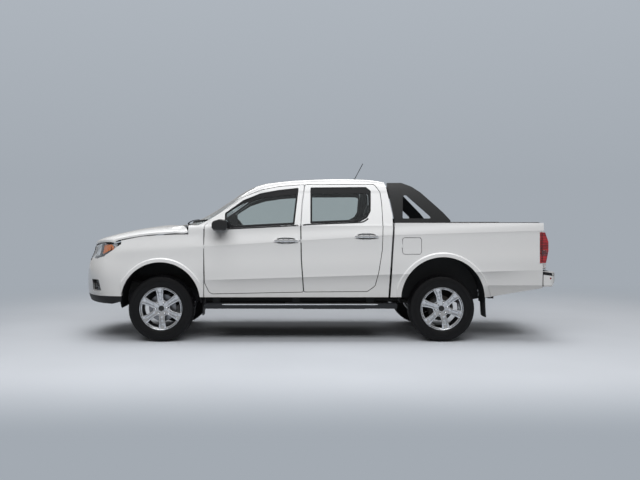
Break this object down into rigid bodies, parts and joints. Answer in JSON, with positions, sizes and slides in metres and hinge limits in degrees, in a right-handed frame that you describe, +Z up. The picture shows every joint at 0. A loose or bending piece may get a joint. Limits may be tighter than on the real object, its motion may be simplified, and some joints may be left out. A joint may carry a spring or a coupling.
{
  "type": "double cab pickup truck",
  "caption": "White double-cab pickup truck with hinged doors, hood, tailgate and fuel flap, steered front wheels and a ladder frame.",
  "frame": {"origin": "on the ground under the middle of the whole truck's box", "axes": "+Z up, +X towards the tailgate so the truck drives towards -X, +Y towards the truck's right side"},
  "size_m": [5.2754, 2.16, 1.9968],
  "materials": {
    "white_paint": "gloss",
    "black_plastic": "matte",
    "dark_plastic": "satin",
    "frame_steel": "satin",
    "cast_metal": "rough",
    "alloy": "satin",
    "tyre_rubber": "matte",
    "tinted_glass": "gloss",
    "lamp_glass": "gloss",
    "red_lamp": "gloss",
    "seat_cloth": "matte",
    "trim": "matte",
    "mirror_cap": "gloss",
    "bar_grey": "satin",
    "exhaust_steel": "satin"
  },
  "bodies": {
    "truck": {"frame_ladder": "frame_steel", "engine_block": "cast_metal", "front_arms": "frame_steel", "rear_axle": "cast_metal", "leaf_springs": "cast_metal", "driveline": "cast_metal", "tow_eyes": "frame_steel", "exhaust": "exhaust_steel", "fuel_tank": "black_plastic", "spare_wheel": "tyre_rubber", "cab_shell": "white_paint", "windscreen": "tinted_glass", "rear_glass": "tinted_glass", "front_wings": "white_paint", "arch_liners": "black_plastic", "front_bumper": "white_paint", "front_skirt": "black_plastic", "grille": "black_plastic", "headlamps": "lamp_glass", "dashboard": "trim", "front_seats": "seat_cloth", "rear_seat": "seat_cloth", "antenna": "black_plastic", "bed_shell": "white_paint", "tail_lamps": "red_lamp", "rear_bumper": "white_paint", "sport_bar": "bar_grey", "side_steps": "dark_plastic", "mud_flaps": "black_plastic"},
    "hood_panel": {"hood": "white_paint"},
    "tailgate_panel": {"tailgate": "white_paint"},
    "fuel_flap_panel": {"fuel_flap": "white_paint"},
    "steering_column": {"steering_wheel": "trim"},
    "knuckle_left_body": {"knuckle_left": "cast_metal"},
    "wheel_front_left": {"rim_front_left": "alloy", "tyre_front_left": "tyre_rubber"},
    "wheel_rear_left": {"rim_rear_left": "alloy", "tyre_rear_left": "tyre_rubber"},
    "door_front_left_body": {"door_front_left": "white_paint", "glass_front_left": "tinted_glass", "mirror_left": "mirror_cap"},
    "door_rear_left_body": {"door_rear_left": "white_paint", "glass_rear_left": "tinted_glass"},
    "knuckle_right_body": {"knuckle_right": "cast_metal"},
    "wheel_front_right": {"rim_front_right": "alloy", "tyre_front_right": "tyre_rubber"},
    "wheel_rear_right": {"rim_rear_right": "alloy", "tyre_rear_right": "tyre_rubber"},
    "door_front_right_body": {"door_front_right": "white_paint", "glass_front_right": "tinted_glass", "mirror_right": "mirror_cap"},
    "door_rear_right_body": {"door_rear_right": "white_paint", "glass_rear_right": "tinted_glass"}
  },
  "joints": [
    {"name": "hood_hinge", "type": "hinge", "parent": "truck", "child": "hood_panel", "pos_m": [-1.4, 0, 1.225], "axis": [0, 1, 0], "range_deg": [0, 50]},
    {"name": "tailgate_hinge", "type": "hinge", "parent": "truck", "child": "tailgate_panel", "pos_m": [2.514, 0, 0.796], "axis": [0, 1, 0], "range_deg": [0, 90]},
    {"name": "fuel_flap_hinge", "type": "hinge", "parent": "truck", "child": "fuel_flap_panel", "pos_m": [0.9405, -0.892, 1.04], "axis": [0, 0, -1], "range_deg": [0, 90]},
    {"name": "steering_spin", "type": "hinge", "parent": "truck", "child": "steering_column", "pos_m": [-0.9, -0.37, 1.13], "axis": [0.9063, 0, 0.4226], "range_deg": [-520, 520]},
    {"name": "steer_left", "type": "hinge", "parent": "truck", "child": "knuckle_left_body", "pos_m": [-1.6775, -0.69, 0.359], "axis": [0, 0, 1], "range_deg": [-30, 30]},
    {"name": "wheel_front_left_spin", "type": "hinge", "parent": "knuckle_left_body", "child": "wheel_front_left", "pos_m": [-1.6775, -0.755, 0.359], "axis": [0, 1, 0], "continuous": true},
    {"name": "wheel_rear_left_spin", "type": "hinge", "parent": "truck", "child": "wheel_rear_left", "pos_m": [1.3725, -0.755, 0.359], "axis": [0, 1, 0], "continuous": true},
    {"name": "door_front_left_hinge", "type": "hinge", "parent": "truck", "child": "door_front_left_body", "pos_m": [-1.206, -0.893, 0.9], "axis": [0, 0, -1], "range_deg": [0, 68]},
    {"name": "door_rear_left_hinge", "type": "hinge", "parent": "truck", "child": "door_rear_left_body", "pos_m": [-0.156, -0.893, 0.9], "axis": [0, 0, -1], "range_deg": [0, 68]},
    {"name": "steer_right", "type": "hinge", "parent": "truck", "child": "knuckle_right_body", "pos_m": [-1.6775, 0.69, 0.359], "axis": [0, 0, 1], "range_deg": [-30, 30]},
    {"name": "wheel_front_right_spin", "type": "hinge", "parent": "knuckle_right_body", "child": "wheel_front_right", "pos_m": [-1.6775, 0.755, 0.359], "axis": [0, 1, 0], "continuous": true},
    {"name": "wheel_rear_right_spin", "type": "hinge", "parent": "truck", "child": "wheel_rear_right", "pos_m": [1.3725, 0.755, 0.359], "axis": [0, 1, 0], "continuous": true},
    {"name": "door_front_right_hinge", "type": "hinge", "parent": "truck", "child": "door_front_right_body", "pos_m": [-1.206, 0.893, 0.9], "axis": [0, 0, 1], "range_deg": [0, 68]},
    {"name": "door_rear_right_hinge", "type": "hinge", "parent": "truck", "child": "door_rear_right_body", "pos_m": [-0.156, 0.893, 0.9], "axis": [0, 0, 1], "range_deg": [0, 68]}
  ],
  "couplings": [
    {"joint": "steer_right", "follows": "steer_left", "ratio": 1},
    {"joint": "steering_spin", "follows": "steer_left", "ratio": 17.3}
  ]
}
